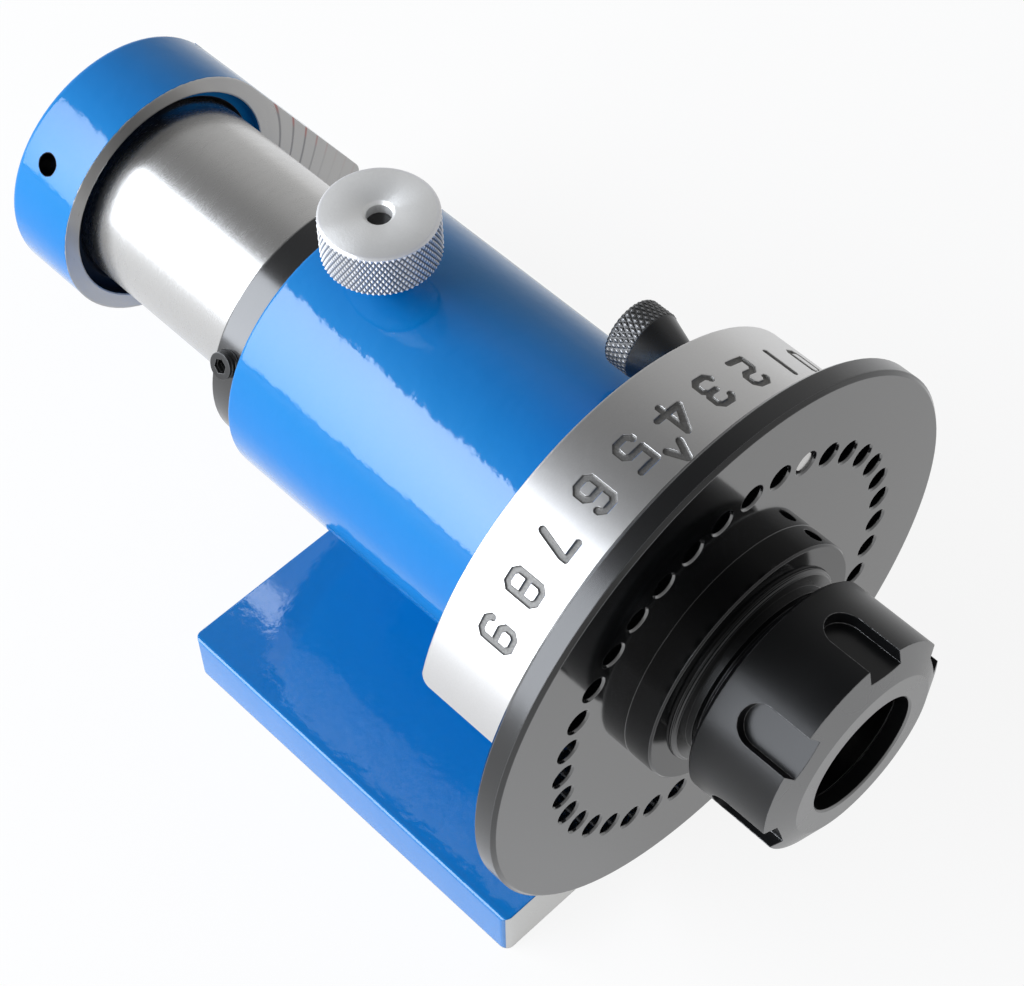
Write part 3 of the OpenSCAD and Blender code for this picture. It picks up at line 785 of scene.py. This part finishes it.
def make_camera():
    """The camera that the photograph was taken with, as fitted to it."""
    camera = scene_object("camera", bpy.data.cameras.new("camera"))
    turn = Matrix((CAMERA_RIGHT, CAMERA_UP, CAMERA_BACK)).transposed()
    camera.matrix_world = Matrix.Translation(CAMERA_AT) @ turn.to_4x4()
    camera.data.sensor_width = 36
    camera.data.lens = LENS
    camera.data.clip_start = 0.01
    camera.data.clip_end = 20
    bpy.context.scene.camera = camera


def direction(azimuth, elevation):
    """Unit vector at an azimuth, 0 toward -Y and 90 toward +X, and an elevation, in degrees."""
    a, e = math.radians(azimuth), math.radians(elevation)
    return Vector((math.sin(a) * math.cos(e), -math.cos(a) * math.cos(e), math.sin(e)))


def make_lamp():
    """A rectangular softbox that faces the object."""
    lamp = bpy.data.lights.new("softbox_left", "AREA")
    lamp.shape = "RECTANGLE"
    lamp.size, lamp.size_y = LAMP_WIDTH, LAMP_HEIGHT
    lamp.energy = LAMP_RADIANCE * math.pi * LAMP_WIDTH * LAMP_HEIGHT
    lamp.color = LAMP_COLOUR
    obj = scene_object("softbox_left", lamp)
    toward = direction(LAMP_AZIMUTH, LAMP_ELEVATION)
    obj.location = Vector((0, LAMP_AIM_Y, AXIS_Z)) + toward * LAMP_DISTANCE
    obj.rotation_mode = "QUATERNION"
    obj.rotation_quaternion = toward.to_track_quat("Z", "Y")
    obj.visible_camera = False


def make_world():
    """A studio that is pale low down and dim overhead."""
    world = bpy.data.worlds.new("studio")
    bpy.context.scene.world = world
    world.use_nodes = True
    tree = world.node_tree
    tree.nodes.clear()
    up = add(tree, "SeparateXYZ", {0: add(tree, "TexCoord").outputs["Generated"]}).outputs[2]
    ramp = add(tree, "ValToRGB", {0: span(tree, up, -1.0, 1.0)})
    stops = ramp.color_ramp.elements
    for i, (elevation, glow) in enumerate(STUDIO):
        place_at = (math.sin(math.radians(elevation)) + 1) / 2
        if i >= 2:
            stops.new(place_at)
        stops[i].position = place_at
        stops[i].color = (glow, glow, glow, 1)
    shade = add(tree, "Background", {0: ramp.outputs[0], 1: 1.0})
    out = add(tree, "OutputWorld")
    tree.links.new(shade.outputs[0], out.inputs[0])


def make_floor():
    """A round white table top. It glows for the camera and for mirroring surfaces, and keeps the
    jig's soft shadow."""
    bpy.ops.mesh.primitive_circle_add(vertices=128, radius=FLOOR_R, fill_type="NGON",
                                      location=(0, 0.02, 0))
    floor = bpy.context.object
    floor.name = "floor"
    material = bpy.data.materials.new("floor_white")
    material.use_nodes = True
    tree = material.node_tree
    tree.nodes.clear()
    path = add(tree, "LightPath").outputs
    mirrored = larger(tree, path["Is Glossy Ray"], path["Is Transmission Ray"])
    share = larger(tree, times(tree, mirrored, GLOW_MIRRORED),
                   times(tree, path["Is Camera Ray"], GLOW_SEEN))
    paper = add(tree, "BsdfDiffuse", {0: FLOOR_GREY})
    glow = add(tree, "Emission", {0: WHITE, 1: 1.0})
    mixed = add(tree, "MixShader", {0: share, 1: paper.outputs[0], 2: glow.outputs[0]})
    out = add(tree, "OutputMaterial")
    tree.links.new(mixed.outputs[0], out.inputs[0])
    floor.data.materials.append(material)


# Looks of the CAD nodes

def dress(node, material, *others):
    """Gives a CAD node its material, and some faces others: pairs of a material and a test of a
    face's centre and normal."""
    mesh = nodes[node].data
    mesh.materials.clear()
    mesh.materials.append(material)
    for number, (other, belongs) in enumerate(others, 1):
        mesh.materials.append(other)
        for face in mesh.polygons:
            if belongs(face.center, face.normal):
                face.material_index = number


def on_plate_rim(centre, normal):
    return math.hypot(centre.x, centre.z - AXIS_Z) > PLATE_R - MM and abs(normal.y) < 0.9


def on_plate_hub(centre, normal):
    return centre.y < PLATE_FRONT - 0.1 * MM


def on_nut_cone(centre, normal):
    return normal.y < -0.4 and centre.y < NUT[0].y + 4 * MM


def on_nut_face(centre, normal):
    return normal.y < -0.95 and centre.y < NUT[0].y + 0.5 * MM


make_camera()
make_world()
make_floor()
make_lamp()

dress("housing_casting", casting_material())
dress("spindle", spindle_material())
dress("index_plate", index_plate_material("index_plate_face", PLATE_FACE_IOR),
      (index_plate_material("index_plate_rim", PLATE_RIM_IOR), on_plate_rim),
      (index_plate_material("index_plate_hub", PLATE_HUB_IOR), on_plate_hub))
dress("collet_nut", black_material("nut_black", 0.30, NUT_IOR),
      (black_material("nut_cone", 0.28, NUT_CONE_IOR), on_nut_cone),
      (black_material("nut_face", 0.28, NUT_FACE_IOR), on_nut_face))
dress("stop_collar", black_material("collar_black", 0.16, COLLAR_IOR, 0.002, 0.3))
screw_black = black_material("screw_black", 0.3, SCREW_IOR, 0.002, 0.3, thread_pitch=MM)
for screw in ("hub_set_screw", "stop_collar_set_screw"):
    dress(screw, screw_black)
dress("lock_stud", black_material("stud_black"))
dress("extractor_ring", turned_material("dark_steel", DARK_STEEL, 0.3, centre=(0, AXIS_Z)))
dress("index_pin_shank", turned_material("pin_steel", STEEL, 0.2, 0.002, centre=(PIN_X, PIN_Z)))
dress("lock_plug", turned_material("brass", BRASS, 0.25, axis="Z", centre=(0, LOCK_Y)))
lock_knob()
pin_head()
rim_marks()
nose_thread()

bpy.context.scene.view_settings.view_transform = "Standard"
